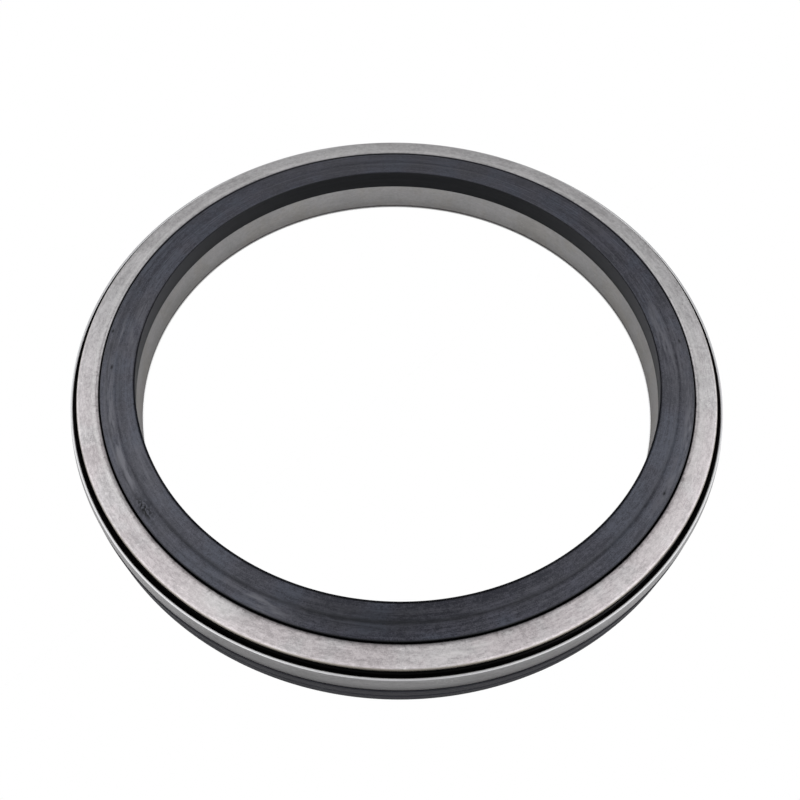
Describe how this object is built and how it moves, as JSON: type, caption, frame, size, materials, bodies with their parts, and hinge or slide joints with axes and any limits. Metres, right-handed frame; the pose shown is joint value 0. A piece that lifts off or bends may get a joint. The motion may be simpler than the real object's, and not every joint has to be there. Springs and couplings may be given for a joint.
{
  "type": "rear crankshaft seal",
  "caption": "Flat ring-shaped oil seal: a flanged wear sleeve with a rubber face turns inside a pressed steel case with a rubber cover, with spring-loaded sealing lips between them.",
  "frame": {"origin": "centre of the underside, which is the rubber foot on the oil side", "axes": "+Z along the shaft axis, from the oil side to the flange face on the air side; the seal is round about Z, so X and Y lie anywhere in the plane of the ring"},
  "size_m": [0.1704, 0.1704, 0.016],
  "materials": {
    "sleeve_steel": "fine circumferential brushing on a satin pressed sheet",
    "face_rubber": "satin moulded rubber, blue-grey, with circular flow marks",
    "case_steel": "drawn sheet steel, satin, with a bright rim",
    "cover_rubber": "ground matte rubber",
    "carrier_steel": "drawn sheet steel, satin",
    "lip_rubber": "smooth moulded rubber, nearly black",
    "spring_steel": "bright drawn wire"
  },
  "bodies": {
    "case": {"outer_case": "case_steel", "case_rubber": "cover_rubber", "lip_carrier": "carrier_steel", "lip_rubber": "lip_rubber", "garter_spring": "spring_steel"},
    "sleeve": {"wear_sleeve": "sleeve_steel", "sleeve_rubber": "face_rubber"}
  },
  "joints": [
    {"name": "sleeve_turn", "type": "hinge", "parent": "case", "child": "sleeve", "pos_m": [0, 0, 0], "axis": [0, 0, 1], "continuous": true}
  ]
}
